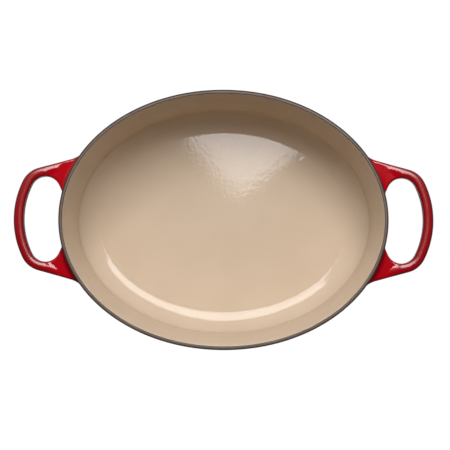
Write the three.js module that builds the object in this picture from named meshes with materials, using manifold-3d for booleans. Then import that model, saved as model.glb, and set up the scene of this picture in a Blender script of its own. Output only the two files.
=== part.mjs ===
// Oval casserole dish: a cast-iron pot and two cast loop handles under vitreous enamel.
// Millimetres, +Z up. X runs from handle to handle and Y across the dish.
// The origin lies on the table, under the middle of the foot.

import * as THREE from "three";
import { mergeVertices } from "three/addons/utils/BufferGeometryUtils.js";
import Module from "manifold-3d";

const wasm = await Module();
wasm.setup();

const DEGREE = Math.PI / 180;

// Pot: sizes of the finished, enamelled dish
const RIM_LENGTH = 290;
const RIM_WIDTH = 228.6;
const OVAL_POWER = 2.02; // 2 is an ellipse, and more is fuller at the corners
const DISH_HEIGHT = 118;
const RIM_LAND = 3.5; // from the inner to the outer face of the wall, at the rim
const RIM_WRAP = 1.2; // how far the rim's band reaches down the outer wall
const LIP_ROUND = 1.2; // radius of the lining where it turns over onto the rim
const INNER_DRAFT = 3.5 * DEGREE; // at the sides
const OUTER_DRAFT = 3.4 * DEGREE;
const END_DRAFT = 2.4 * DEGREE; // of the inner wall at the two ends, which are steeper than the sides
const RIM_DEPTH = 6; // of the stretch below the rim where the ends lean as much as the sides
const FLOOR_THICKNESS = 4.6;
const FLOOR_SWEEP = 26; // radius of the lining where the floor starts to rise
const FLOOR_CORNER = 5; // radius where it turns up into the wall
const SWEEP_RISE = 49.5 * DEGREE; // slope at which the one radius runs into the other
const BASE_ROUND = 16;
const FOOT_WIDTH = 8;
const FOOT_HEIGHT = 1.2;
const FOOT_SLANT = 45 * DEGREE;

// Casting and coats
const ENAMEL = 0.5;
const RIM_EDGE = 0.5; // radius of the casting's outer edge under the rim's band
const CUT_GAP = 0.05; // between pieces that are cut by one another

// Handles: sizes of the finished, enamelled loop
const HANDLE_REACH = 40.8; // from the end of the rim to the outside of the bar
const HANDLE_DROP = 16; // from the top of the rim to the middle of the web
const HANDLE_TILT = 3 * DEGREE;
const BAR_WIDTH = 8.8;
const BAR_HEIGHT = 13;
const BAR_BOW = 77.3; // radius of the bar's outside, seen from above
const OPENING_LENGTH = 75.4;
const OPENING_CORNER = 13.5;
const OPENING_LEAVE = 156 * DEGREE; // where the corner runs straight on into the wall
const WEB_HEIGHT = 10;
const WEB_SLOPE = 15.6 * DEGREE;
const STEP_START = 10; // along the web's outer edge, where the bar starts to step down to it
const STEP_LENGTH = 6;
const EDGE_ROUND = 4;
const ROOT_BLEND = 9; // length of the curve that runs the web's outer edge into the wall
const ROOT_FLARE = 2.5; // how much the web thickens towards the wall, above and below
const FLARE_LENGTH = 7;
const ROOT_SINK = 1.5; // how far the loop is drawn into the wall before it is cut off there

// Facets
const OVAL_SEGMENTS = 64;
const SWEEP_STEPS = 3;
const CORNER_STEPS = 2;
const BASE_STEPS = 5;
const BAR_STEP = 12 * DEGREE;
const WEB_STEPS = 6;
const EDGE_STEPS = 2;
const FULLEST_EDGE = 0.95; // most of a section's half-width or half-height that its round edges take
const TINY = 1e-6;

const HALF_LENGTH = RIM_LENGTH / 2;
const HALF_WIDTH = RIM_WIDTH / 2;
const FLOOR_Z = FOOT_HEIGHT + FLOOR_THICKNESS;
const CORNER_Z = FLOOR_Z + FLOOR_SWEEP - (FLOOR_SWEEP - FLOOR_CORNER) * Math.cos(SWEEP_RISE);
const WEB_Z = DISH_HEIGHT - HANDLE_DROP;

const CAST_IRON = { color: 0x46433f, roughness: 0.75, metalness: 0.6 };
const SAND_ENAMEL = { color: 0xcdb598, roughness: 0.16, metalness: 0 };
const RED_ENAMEL = { color: 0xb20714, roughness: 0.12, metalness: 0 };
const RIM_ENAMEL = { color: 0x6a5d54, roughness: 0.5, metalness: 0 };

const point = (x, y) => new THREE.Vector2(x, y);
const heading = (angle) => point(Math.cos(angle), Math.sin(angle));

// Faces of the finished wall, as half-widths across the dish at a height above the table
const innerWall = (z) => HALF_WIDTH - RIM_LAND - (DISH_HEIGHT - z) * Math.tan(INNER_DRAFT);
const outerWall = (z) => HALF_WIDTH - (DISH_HEIGHT - z) * Math.tan(OUTER_DRAFT);

/** How much the half-length of the plan exceeds its half-width at a height above the table. */
function lengthening(z) {
  const steepTop = DISH_HEIGHT - RIM_DEPTH;
  const depth = steepTop - THREE.MathUtils.clamp(z, CORNER_Z, steepTop);
  return HALF_LENGTH - HALF_WIDTH + depth * (Math.tan(INNER_DRAFT) - Math.tan(END_DRAFT));
}

/** Stations along a round stretch of the casting: side is 1 where it bulges and -1 where it is hollow. */
function roundStations(centre, radius, from, to, side, steps) {
  return Array.from({ length: steps + 1 }, (_, i) => {
    const out = heading(from + ((to - from) * i) / steps);
    return { at: centre.clone().addScaledVector(out, radius), normal: out.multiplyScalar(side) };
  });
}

/** The station a given distance further down the straight wall below another one. */
function downWall({ at, normal }, distance) {
  const down = point(-Math.abs(normal.y), -Math.abs(normal.x));
  return { at: at.clone().addScaledVector(down, distance), normal };
}

/** Normal of a sharp corner, long enough to keep the coats on both its sides at full thickness. */
function mitre(a, b) {
  return a.clone().add(b).divideScalar(1 + a.dot(b));
}

/** Half-section of the casting: stations with normals that point out of the iron, coat by coat. */
function castingSection() {
  const up = point(0, 1);
  const down = point(0, -1);

  const sweepEnd = SWEEP_RISE - Math.PI / 2;
  const cornerCentre = point(innerWall(CORNER_Z) - FLOOR_CORNER / Math.cos(INNER_DRAFT), CORNER_Z);
  const cornerIron = FLOOR_CORNER + ENAMEL;
  const corner = roundStations(cornerCentre, cornerIron, sweepEnd, -INNER_DRAFT, -1, CORNER_STEPS);
  const sweepCentre = cornerCentre.clone().addScaledVector(heading(sweepEnd), FLOOR_CORNER - FLOOR_SWEEP);
  const sweepIron = FLOOR_SWEEP + ENAMEL;
  const sweep = roundStations(sweepCentre, sweepIron, -Math.PI / 2, sweepEnd, -1, SWEEP_STEPS);

  const lipZ = DISH_HEIGHT - LIP_ROUND;
  const lipCentre = point(innerWall(lipZ) + LIP_ROUND / Math.cos(INNER_DRAFT), lipZ);
  const lipIron = LIP_ROUND - ENAMEL;
  const lip = roundStations(lipCentre, lipIron, Math.PI - INNER_DRAFT, Math.PI / 2, 1, EDGE_STEPS);

  const rimRound = RIM_EDGE + ENAMEL;
  const rimZ = DISH_HEIGHT - rimRound;
  const outerCentre = point(outerWall(rimZ) - rimRound / Math.cos(OUTER_DRAFT), rimZ);
  const outerEdge = roundStations(outerCentre, RIM_EDGE, Math.PI / 2, -OUTER_DRAFT, 1, EDGE_STEPS);
  const wallTop = downWall(outerEdge.at(-1), RIM_WRAP);

  const baseCentre = point(outerWall(BASE_ROUND) - BASE_ROUND / Math.cos(OUTER_DRAFT), BASE_ROUND);
  const baseIron = BASE_ROUND - ENAMEL;
  const baseRound = roundStations(baseCentre, baseIron, -OUTER_DRAFT, -Math.PI / 2, 1, BASE_STEPS);
  const footEdge = point(baseCentre.x - FOOT_WIDTH, ENAMEL);
  const recessEdge = point(footEdge.x - FOOT_HEIGHT / Math.tan(FOOT_SLANT), ENAMEL + FOOT_HEIGHT);
  const footCorner = mitre(down, point(-Math.sin(FOOT_SLANT), -Math.cos(FOOT_SLANT)));

  const middle = { at: point(0, FLOOR_Z - ENAMEL), normal: up };
  const lining = [middle, ...sweep, ...corner.slice(1), ...lip];
  const rim = [lip.at(-1), ...outerEdge, wallTop];
  const wall = [wallTop, ...baseRound];
  const base = [
    baseRound.at(-1),
    { at: footEdge, normal: footCorner },
    { at: recessEdge, normal: footCorner },
    { at: point(0, recessEdge.y), normal: down },
  ];
  const lid = { at: point(0, DISH_HEIGHT - ENAMEL), normal: up };
  const outside = [lid, ...outerEdge, ...wall, ...base.slice(1)];
  const casting = [...lining, ...rim.slice(1), ...wall.slice(1), ...base.slice(1)];
  return { lining, rim, wall, base, outside, casting };
}

const SECTION = castingSection();
const FLAT_HALF_WIDTH = Math.min(SECTION.lining[1].at.x, SECTION.base[2].at.x);

/** Section points that lie a given distance outside the iron. */
function offset(stations, distance) {
  return stations.map(({ at, normal }) => at.clone().addScaledVector(normal, distance));
}

/** Carries a round dish of the same width over to the oval, with walls of the same thickness all round. */
function toOval(x, y, z) {
  const radius = Math.max(Math.hypot(x, y), TINY);
  const across = Math.abs(y / radius) ** OVAL_POWER;
  const along = Math.abs(x / radius) ** OVAL_POWER;
  const fullness = Math.max(across + along, TINY) ** (-1 / OVAL_POWER);
  const stretch = 1 + lengthening(z) / Math.max(radius, FLAT_HALF_WIDTH);
  return [x * fullness * stretch, y * fullness];
}

/** A closed solid from a geometry, with its faces pointing out. */
function solidOf(geometry) {
  geometry.deleteAttribute("normal");
  geometry.deleteAttribute("uv");
  const merged = mergeVertices(geometry);
  const index = merged.index.array;
  const places = merged.attributes.position.array;
  const corner = (i) => new THREE.Vector3().fromArray(places, 3 * index[i]);
  const triangles = [];
  let volume = 0;
  for (let i = 0; i < index.length; i += 3) {
    const [a, b, c] = [index[i], index[i + 1], index[i + 2]];
    if (a !== b && b !== c && c !== a) {
      triangles.push([a, b, c]);
      volume += corner(i).dot(corner(i + 1).cross(corner(i + 2)));
    }
  }
  const facing = volume > 0 ? triangles : triangles.map(([a, b, c]) => [a, c, b]);
  return new wasm.Manifold(
    new wasm.Mesh({ numProp: 3, vertProperties: places, triVerts: new Uint32Array(facing.flat()) }),
  );
}

/** A solid of oval plan from a closed half-section, whose points hold half-width and height. */
function ovalSolid(points) {
  const onAxis = points[0].x === 0;
  const outline = onAxis ? points : [...points, points[0].clone()];
  const geometry = new THREE.LatheGeometry(outline, OVAL_SEGMENTS).rotateX(Math.PI / 2);
  const places = geometry.attributes.position;
  for (let i = 0; i < places.count; i += 1) {
    places.setXY(i, ...toOval(places.getX(i), places.getY(i), places.getZ(i)));
  }
  return solidOf(geometry);
}

/** One coat of enamel over a stretch of the casting. */
function coat(stations) {
  const finished = offset(stations, ENAMEL);
  const iron = offset(stations, 0);
  const startsOnAxis = iron[0].x === 0;
  return ovalSolid(startsOnAxis ? [...iron, ...finished.reverse()] : [...finished.reverse(), ...iron]);
}

/** Distance from a point outside the pot to its finished wall, at the height of the web. */
function distanceToWall(start, direction) {
  const across = outerWall(WEB_Z);
  const along = across + lengthening(WEB_Z);
  const term = (reach, half) => (Math.abs(reach) / half) ** OVAL_POWER;
  const inside = ({ x, y }) => term(x, along) + term(y, across) < 1;
  let near = 0;
  let far = HALF_LENGTH;
  while (far - near > TINY) {
    const middle = (near + far) / 2;
    if (inside(start.clone().addScaledVector(direction, middle))) {
      far = middle;
    } else {
      near = middle;
    }
  }
  return near;
}

/** Cross-sections of half a loop, from the middle of the bar to its root, for the handle at +X. */
function halfLoop() {
  const bowInside = BAR_BOW - BAR_WIDTH;
  const bowCentre = point(HALF_LENGTH + HANDLE_REACH - BAR_BOW, 0);
  const cornerY = OPENING_LENGTH / 2 - OPENING_CORNER;
  const cornerReach = bowInside - OPENING_CORNER;
  const bowEnd = Math.asin(cornerY / cornerReach);
  const corner = bowCentre.clone().addScaledVector(heading(bowEnd), cornerReach);
  const webStart = Math.PI / 2 - WEB_SLOPE;

  const sections = [];
  const addArc = (centre, inside, from, to) => {
    const steps = Math.ceil((to - from) / BAR_STEP);
    for (let i = 0; i < steps; i += 1) {
      const out = heading(from + ((to - from) * i) / steps);
      sections.push({
        inner: centre.clone().addScaledVector(out, inside),
        outer: centre.clone().addScaledVector(out, inside + BAR_WIDTH),
        bar: 1,
        flare: 0,
      });
    }
  };
  addArc(bowCentre, bowInside, 0, bowEnd);
  addArc(corner, OPENING_CORNER, bowEnd, webStart);

  const leave = corner.clone().addScaledVector(heading(OPENING_LEAVE), OPENING_CORNER);
  const innerRun = heading(OPENING_LEAVE + Math.PI / 2);
  const innerRoot = leave.clone().addScaledVector(innerRun, distanceToWall(leave, innerRun) + ROOT_SINK);
  const innerEdge = new THREE.Path();
  innerEdge.absarc(corner.x, corner.y, OPENING_CORNER, webStart, OPENING_LEAVE, false);
  innerEdge.lineTo(innerRoot.x, innerRoot.y);

  const outerStart = corner.clone().addScaledVector(heading(webStart), OPENING_CORNER + BAR_WIDTH);
  const outerRun = heading(webStart + Math.PI / 2);
  const outerLength = distanceToWall(outerStart, outerRun);
  const outerWallPoint = outerStart.clone().addScaledVector(outerRun, outerLength);
  const blendStart = outerStart.clone().addScaledVector(outerRun, outerLength - ROOT_BLEND);
  const wallAngle = Math.atan2(outerWallPoint.x / HALF_LENGTH ** 2, outerWallPoint.y / HALF_WIDTH ** 2);
  const alongWall = point(-Math.cos(wallAngle), Math.sin(wallAngle));
  const intoWall = point(-Math.sin(wallAngle), -Math.cos(wallAngle));
  const outerRoot = outerWallPoint
    .clone()
    .addScaledVector(alongWall, ROOT_BLEND)
    .addScaledVector(intoWall, ROOT_SINK);
  const outerEdge = new THREE.Path();
  outerEdge.moveTo(outerStart.x, outerStart.y);
  outerEdge.lineTo(blendStart.x, blendStart.y);
  outerEdge.quadraticCurveTo(outerWallPoint.x, outerWallPoint.y, outerRoot.x, outerRoot.y);

  const length = outerEdge.getLength();
  const stops = [0, STEP_START, STEP_START + STEP_LENGTH];
  for (let i = 1; i <= WEB_STEPS; i += 1) {
    stops.push(stops[2] + ((length - stops[2]) * i) / WEB_STEPS);
  }
  for (const stop of stops) {
    const share = Math.min(stop / length, 1);
    const toWall = Math.max(length - stop - ROOT_SINK, 0);
    sections.push({
      inner: innerEdge.getPointAt(share),
      outer: outerEdge.getPointAt(share),
      bar: 1 - THREE.MathUtils.clamp((stop - STEP_START) / STEP_LENGTH, 0, 1),
      flare: ROOT_FLARE * Math.max(1 - toWall / FLARE_LENGTH, 0) ** 2,
    });
  }
  return sections;
}

/** Ring of points round one cross-section: an upright rectangle with round edges. */
function sectionRing({ inner, outer, bar, flare }, inset) {
  const middle = inner.clone().lerp(outer, 0.5);
  const across = outer.clone().sub(inner).normalize();
  const halfWidth = inner.distanceTo(outer) / 2 - inset;
  const halfHeight = THREE.MathUtils.lerp(WEB_HEIGHT, BAR_HEIGHT, bar) / 2 + flare - inset;
  const radius = Math.min(EDGE_ROUND - inset, FULLEST_EDGE * halfWidth, FULLEST_EDGE * halfHeight);
  const z = WEB_Z + (middle.x - HALF_LENGTH) * Math.tan(HANDLE_TILT);
  const ring = [];
  for (let quarter = 0; quarter < 4; quarter += 1) {
    const diagonal = heading((quarter + 0.5) * (Math.PI / 2));
    const centreAcross = Math.sign(diagonal.x) * (halfWidth - radius);
    const centreUp = Math.sign(diagonal.y) * (halfHeight - radius);
    for (let i = 0; i <= EDGE_STEPS; i += 1) {
      const out = heading((quarter + i / EDGE_STEPS) * (Math.PI / 2));
      const place = middle.clone().addScaledVector(across, centreAcross + radius * out.x);
      ring.push(new THREE.Vector3(place.x, place.y, z + centreUp + radius * out.y));
    }
  }
  return ring;
}

/** A solid skinned over rings of equal length, flat at both ends. */
function loft(rings) {
  const count = rings[0].length;
  const places = rings.flat().flatMap((place) => place.toArray());
  const index = [];
  for (let ring = 0; ring + 1 < rings.length; ring += 1) {
    for (let i = 0; i < count; i += 1) {
      const a = ring * count + i;
      const b = ring * count + ((i + 1) % count);
      index.push(a, b, a + count, b, b + count, a + count);
    }
  }
  const last = (rings.length - 1) * count;
  for (let i = 1; i + 1 < count; i += 1) {
    index.push(0, i + 1, i, last, last + i, last + i + 1);
  }
  const geometry = new THREE.BufferGeometry();
  geometry.setAttribute("position", new THREE.Float32BufferAttribute(places, 3));
  geometry.setIndex(index);
  return solidOf(geometry);
}

/** The loop at one end of the dish, shrunk by an inset, with its roots still inside the wall. */
function loop(end, inset) {
  const half = halfLoop();
  const mirrored = half.slice(1).map((section) => ({
    ...section,
    inner: point(section.inner.x, -section.inner.y),
    outer: point(section.outer.x, -section.outer.y),
  }));
  const rings = [...mirrored.reverse(), ...half].map((section) => sectionRing(section, inset));
  const turned = rings.map((ring) => ring.map(({ x, y, z }) => new THREE.Vector3(end * x, end * y, z)));
  return loft(turned);
}

/** A named piece with its own finish. */
function piece(name, solid, finish) {
  const mesh = solid.getMesh();
  const geometry = new THREE.BufferGeometry();
  geometry.setAttribute("position", new THREE.BufferAttribute(mesh.vertProperties, 3));
  geometry.setIndex(new THREE.BufferAttribute(mesh.triVerts, 1));
  geometry.computeVertexNormals();
  const result = new THREE.Mesh(geometry, new THREE.MeshStandardMaterial(finish));
  result.name = name;
  return result;
}

const ENDS = { left: -1, right: 1 };

/** The pot: the casting and the coats on it, with openings in the wall's coat for the handles' roots. */
function pot() {
  const group = new THREE.Group();
  let wallCoat = coat(SECTION.wall);
  for (const end of Object.values(ENDS)) {
    wallCoat = wallCoat.subtract(loop(end, ENAMEL - CUT_GAP));
  }
  group.add(
    piece("pot_casting", ovalSolid(offset(SECTION.casting, 0)), CAST_IRON),
    piece("interior_enamel", coat(SECTION.lining), SAND_ENAMEL),
    piece("rim_enamel", coat(SECTION.rim), RIM_ENAMEL),
    piece("exterior_enamel", wallCoat, RED_ENAMEL),
    piece("base_enamel", coat(SECTION.base), RED_ENAMEL),
  );
  return group;
}

/** One handle: its iron core, which ends on the pot's iron, and the sleeve of enamel over it. */
function handle(side) {
  const group = new THREE.Group();
  const core = loop(ENDS[side], ENAMEL);
  const ironWall = ovalSolid(offset(SECTION.outside, CUT_GAP));
  const finishedWall = ovalSolid(offset(SECTION.outside, ENAMEL + CUT_GAP));
  const sleeve = loop(ENDS[side], 0).subtract(core).subtract(finishedWall);
  group.add(
    piece(`${side}_handle_casting`, core.subtract(ironWall), CAST_IRON),
    piece(`${side}_handle_enamel`, sleeve, RED_ENAMEL),
  );
  return group;
}

const dish = new THREE.Group();
dish.name = "oval_casserole_dish";
dish.add(pot(), ...Object.keys(ENDS).map(handle));

export default dish;
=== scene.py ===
"""Looks of an oval casserole dish: cast iron under vitreous enamel, with a loop handle at each end."""

import logging
import math
from dataclasses import dataclass, field
from enum import Enum

import bpy
import numpy as np
from bpy.types import ID, GeometryNodeTree, Material, Node, NodeSocket, NodeTree, Object, ShaderNodeTree
from mathutils import Matrix, Quaternion, Vector


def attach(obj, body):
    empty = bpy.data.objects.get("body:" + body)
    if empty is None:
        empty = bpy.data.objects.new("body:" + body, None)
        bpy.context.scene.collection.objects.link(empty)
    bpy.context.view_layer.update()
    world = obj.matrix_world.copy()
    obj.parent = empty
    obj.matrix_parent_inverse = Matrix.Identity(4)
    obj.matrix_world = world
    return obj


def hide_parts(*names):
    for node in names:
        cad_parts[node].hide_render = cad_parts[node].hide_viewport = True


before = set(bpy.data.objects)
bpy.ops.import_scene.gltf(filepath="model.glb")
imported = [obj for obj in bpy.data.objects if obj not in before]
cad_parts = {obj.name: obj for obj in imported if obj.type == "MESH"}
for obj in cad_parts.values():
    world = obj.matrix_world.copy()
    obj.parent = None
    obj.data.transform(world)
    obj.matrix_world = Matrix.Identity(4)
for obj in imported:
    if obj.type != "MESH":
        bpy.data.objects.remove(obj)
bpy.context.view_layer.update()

LOG = logging.getLogger("casserole")

MM = 0.001
ROOT_BODY = "root"
EDGE = "edge"  # mesh attribute from 0 to 1 that darkens and dulls a coat: thin red at the top of the wall, thin enamel and painted shade on the handles, a dark line along the rim's seam with the lining, and painted shade round the rim's outer edge
MIDDLE = 0.5  # of a range from 0 to 1
PATCH_RANGE = (0.35, 0.65)  # noise between which one tone of a glaze turns into the other
MERGE_DISTANCE = 1e-6  # joins the last ring of a sweep to the first, in metres
SLEEVE_CREASE = math.radians(50)  # edges of a handle's sleeve that bend more than this stay sharp
HUMP_GAIN = 4  # brings x * (1 - x) up to 1 in the middle of its range

FLOAT = "NodeSocketFloat"
COLOUR = "NodeSocketColor"
VECTOR = "NodeSocketVector"
GEOMETRY = "NodeSocketGeometry"

# Inputs of the finishes' node groups: a finish has a field of the same name for each
RIPPLE_VALUES = ("Peel Size", "Peel Depth", "Wave Size", "Wave Depth")
TONE_COLOURS = ("Colour", "Patch Colour", "Fleck Colour", "Edge Colour")
TONE_SIZES = ("Patch Size", "Fleck Size", "Fleck Share")
TONE_GLOSS = ("Roughness", "Roughness Spread", "Edge Roughness")

Array = np.ndarray
Triple = tuple[float, float, float]
Feed = float | int | str | tuple[float, ...] | NodeSocket


class Slot(Enum):
    """Material slots of the record for the coats; they are listed with the coats but not given to them
    here.
    """

    SAND = "sand_enamel"
    RIM = "rim_enamel"
    RED = "red_enamel"


class End(Enum):
    """The two ends of the dish, by the side they are on along X."""

    LEFT = -1
    RIGHT = 1


class Wiring:
    """Adds and joins the nodes of one shader or geometry tree."""

    def __init__(self, tree: NodeTree) -> None:
        """Starts on a tree with no nodes.

        Args:
            tree: the tree to fill.
        """
        self.tree = tree
        tree.nodes.clear()

    def feed(self, socket: NodeSocket, feed: Feed) -> None:
        """Gives an input a value, or joins another node's output to it.

        Args:
            socket: the input.
            feed: the value or the output.
        """
        if isinstance(feed, NodeSocket):
            self.tree.links.new(feed, socket)
        else:
            socket.default_value = feed

    def add(self, kind: str, feeds: dict[str, Feed] | None = None, **settings: object) -> Node:
        """Adds one node.

        Args:
            kind: the node's type.
            feeds: what its inputs take, by name.
            settings: the node's own properties.

        Returns:
            The new node.
        """
        node = self.tree.nodes.new(kind)
        for name, value in settings.items():
            setattr(node, name, value)
        for name, feed in (feeds or {}).items():
            self.feed(node.inputs[name], feed)
        return node

    def math(self, operation: str, *feeds: Feed) -> NodeSocket:
        """Adds a Math node.

        Args:
            operation: what it works out.
            feeds: what its inputs take, in order.

        Returns:
            Its result.
        """
        node = self.add("ShaderNodeMath", operation=operation)
        for socket, feed in zip(node.inputs, feeds):
            self.feed(socket, feed)
        return node.outputs[0]

    def blend(self, share: Feed, start: Feed, end: Feed) -> NodeSocket:
        """Mixes two colours.

        Args:
            share: how much of the second colour is taken, from 0 to 1.
            start: the first colour.
            end: the second colour.

        Returns:
            The mixed colour.
        """
        node = self.add("ShaderNodeMix", data_type="RGBA")
        sockets = {socket.identifier: socket for socket in node.inputs}
        self.feed(sockets["Factor_Float"], share)
        self.feed(sockets["A_Color"], start)
        self.feed(sockets["B_Color"], end)
        return next(socket for socket in node.outputs if socket.identifier == "Result_Color")

    def ramp(
        self, value: Feed, low: Feed, high: Feed, start: Feed = 0.0, end: Feed = 1.0
    ) -> NodeSocket:
        """Maps a value from one range to another, smoothly and without leaving it.

        Args:
            value: the value to map.
            low: where the first range starts.
            high: where the first range ends.
            start: the result at low.
            end: the result at high.

        Returns:
            The mapped value.
        """
        feeds = {"Value": value, "From Min": low, "From Max": high, "To Min": start, "To Max": end}
        return self.add("ShaderNodeMapRange", feeds, interpolation_type="SMOOTHSTEP").outputs["Result"]

    def noise(self, place: Feed, grain: Feed, detail: float = 2.0) -> NodeSocket:
        """Adds a noise whose features have a given size.

        Args:
            place: where the noise is read.
            grain: the size of its features, in metres.
            detail: how many finer layers it has.

        Returns:
            The noise, from 0 to 1 around one half.
        """
        feeds = {"Vector": place, "Scale": self.math("DIVIDE", 1.0, grain), "Detail": detail}
        return self.add("ShaderNodeTexNoise", feeds).outputs["Fac"]


def new_group(
    name: str, inputs: dict[str, str], outputs: dict[str, str], kind: str = "ShaderNodeTree"
) -> Wiring:
    """Starts a node group.

    Args:
        name: the group's name.
        inputs: the kind of each input socket, by name.
        outputs: the kind of each output socket, by name.
        kind: the type of its tree.

    Returns:
        The wiring of the empty group.
    """
    tree = bpy.data.node_groups.new(name, kind)
    for way, sockets in (("INPUT", inputs), ("OUTPUT", outputs)):
        for socket, socket_kind in sockets.items():
            tree.interface.new_socket(socket, in_out=way, socket_type=socket_kind)
    return Wiring(tree)


def new_material(name: str) -> tuple[Material, Wiring]:
    """Starts a material.

    Args:
        name: its name.

    Returns:
        The material and the wiring of its empty tree.
    """
    made = bpy.data.materials.new(name)
    made.use_nodes = True
    return made, Wiring(made.node_tree)


def add_object(name: str, data: ID) -> Object:
    """Puts a mesh, a lamp or a camera into the scene.

    Args:
        name: the object's name.
        data: what it shows.

    Returns:
        The new object.
    """
    made = bpy.data.objects.new(name, data)
    bpy.context.scene.collection.objects.link(made)
    return made


def glaze_ripple_group() -> ShaderNodeTree:
    """Makes the ripple of a fired glaze: fine orange peel over long, low waves.

    Returns:
        A group whose Height output is in metres.
    """
    inputs = {"Place": VECTOR} | dict.fromkeys(RIPPLE_VALUES, FLOAT)
    w = new_group("glaze_ripple", inputs, {"Height": FLOAT})
    given = w.add("NodeGroupInput").outputs
    peel_noise = w.noise(given["Place"], given["Peel Size"], detail=0.0)
    peel = w.math("MULTIPLY", peel_noise, given["Peel Depth"])
    wave = w.math("MULTIPLY", w.noise(given["Place"], given["Wave Size"]), given["Wave Depth"])
    w.add("NodeGroupOutput", {"Height": w.math("ADD", peel, wave)})
    return w.tree


def glaze_tone_group() -> ShaderNodeTree:
    """Makes the uneven tone of a glaze: soft patches, fine flecks and a darker, duller edge, which is
    thin enamel in some places and painted shade in others.

    Returns:
        A group that puts out a colour and a roughness.
    """
    inputs = {"Place": VECTOR, "Edge": FLOAT}
    inputs |= dict.fromkeys(TONE_COLOURS, COLOUR) | dict.fromkeys(TONE_SIZES + TONE_GLOSS, FLOAT)
    w = new_group("glaze_tone", inputs, {"Colour": COLOUR, "Roughness": FLOAT})
    given = w.add("NodeGroupInput").outputs
    patches = w.ramp(w.noise(given["Place"], given["Patch Size"]), *PATCH_RANGE)
    toned = w.blend(patches, given["Colour"], given["Patch Colour"])
    flecks = w.noise(given["Place"], given["Fleck Size"], detail=0.0)
    fleck_start = w.math("SUBTRACT", 1.0, given["Fleck Share"])
    flecked = w.blend(w.ramp(flecks, fleck_start, 1.0), toned, given["Fleck Colour"])
    edged = w.blend(given["Edge"], flecked, given["Edge Colour"])
    spread = w.math("MULTIPLY", w.math("SUBTRACT", patches, MIDDLE), given["Roughness Spread"])
    worn = w.math("MULTIPLY", given["Edge"], given["Edge Roughness"])
    roughness = w.math("ADD", w.math("ADD", given["Roughness"], spread), worn)
    w.add("NodeGroupOutput", {"Colour": edged, "Roughness": roughness})
    return w.tree


def group_feeds(finish: object, labels: tuple[str, ...]) -> dict[str, Feed]:
    """What a finish feeds into a node group.

    Args:
        finish: the finish, with a field for each input.
        labels: names of the inputs.

    Returns:
        A value for each input, by name. Colours get an alpha of 1.
    """
    values = {label: getattr(finish, label.lower().replace(" ", "_")) for label in labels}
    return {label: (*it, 1.0) if isinstance(it, tuple) else it for label, it in values.items()}


@dataclass(frozen=True)
class Workshop:
    """Node groups that the finishes share."""

    ripple: ShaderNodeTree = field(default_factory=glaze_ripple_group)
    tone: ShaderNodeTree = field(default_factory=glaze_tone_group)

    def shade(self, w: Wiring, place: Feed, finish: object, feeds: dict[str, Feed]) -> None:
        """Ends a material with its shader, whose normal follows the ripple of the surface.

        Args:
            w: the material's wiring.
            place: where the ripple is read.
            finish: the finish, which has the ripple's sizes and depths.
            feeds: what the shader's other inputs take.
        """
        ripple = {"Place": place, **group_feeds(finish, RIPPLE_VALUES)}
        waves = w.add("ShaderNodeGroup", ripple, node_tree=self.ripple)
        heights = {"Height": waves.outputs["Height"], "Strength": 1.0, "Distance": 1.0}
        normal = w.add("ShaderNodeBump", heights).outputs["Normal"]
        shader = w.add("ShaderNodeBsdfPrincipled", {**feeds, "Normal": normal})
        w.add("ShaderNodeOutputMaterial", {"Surface": shader.outputs["BSDF"]})


@dataclass(frozen=True)
class Glaze:
    """A fired enamel: its colours, its gloss and the ripple of its surface."""

    name: str
    colour: Triple
    patch_colour: Triple
    fleck_colour: Triple
    edge_colour: Triple
    roughness: float
    roughness_spread: float
    edge_roughness: float = 0.0
    ior: float = 1.5
    patch_size: float = 45 * MM
    fleck_size: float = 1.1 * MM
    fleck_share: float = 0.34
    peel_size: float = 3.2 * MM
    peel_depth: float = 0.016 * MM
    wave_size: float = 16 * MM
    wave_depth: float = 0.03 * MM

    def material(self, workshop: Workshop) -> Material:
        """Makes the material.

        Args:
            workshop: the shared node groups.

        Returns:
            The new material.
        """
        made, w = new_material(self.name)
        place = w.add("ShaderNodeTexCoord").outputs["Object"]
        edge = w.add("ShaderNodeAttribute", attribute_name=EDGE).outputs["Fac"]
        tones = group_feeds(self, TONE_COLOURS + TONE_SIZES + TONE_GLOSS)
        tone_feeds = {"Place": place, "Edge": edge, **tones}
        tone = w.add("ShaderNodeGroup", tone_feeds, node_tree=workshop.tone).outputs
        feeds = {"Base Color": tone["Colour"], "Roughness": tone["Roughness"], "IOR": self.ior}
        workshop.shade(w, place, self, feeds)
        return made


SAND_GLAZE = Glaze(
    name="sand_glaze",
    colour=(0.70, 0.565, 0.43),
    patch_colour=(0.68, 0.545, 0.41),
    fleck_colour=(0.64, 0.51, 0.38),
    edge_colour=(0.30, 0.22, 0.16),
    roughness=0.06,
    roughness_spread=0.015,
    ior=1.36,
    peel_depth=0.022 * MM,
)
RED_GLAZE = Glaze(
    name="red_glaze",
    colour=(0.48, 0.0005, 0.0075),
    patch_colour=(0.46, 0.0005, 0.0065),
    fleck_colour=(0.44, 0.0005, 0.006),
    # The dark edge colour is thin red at the top of the wall, and on the handles partly thin enamel,
    # partly painted shade.
    edge_colour=(0.14, 0.004, 0.004),
    roughness=0.08,
    roughness_spread=0.02,
    edge_roughness=0.3,
    ior=1.51,
    peel_depth=0.0005 * MM,
    wave_depth=0.003 * MM,
)
RIM_GROUND_COAT = Glaze(
    name="rim_ground_coat",
    colour=(0.138, 0.084, 0.06),
    patch_colour=(0.117, 0.073, 0.052),
    fleck_colour=(0.08, 0.055, 0.042),
    # The near-black edge colour paints shade round the band's outer edge and darkens a line along its
    # seam with the lining.
    edge_colour=(0.02, 0.014, 0.011),
    roughness=0.42,
    roughness_spread=0.1,
    edge_roughness=0.4,
    patch_size=18 * MM,
    fleck_size=0.7 * MM,
    peel_size=0.9 * MM,
)


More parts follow.
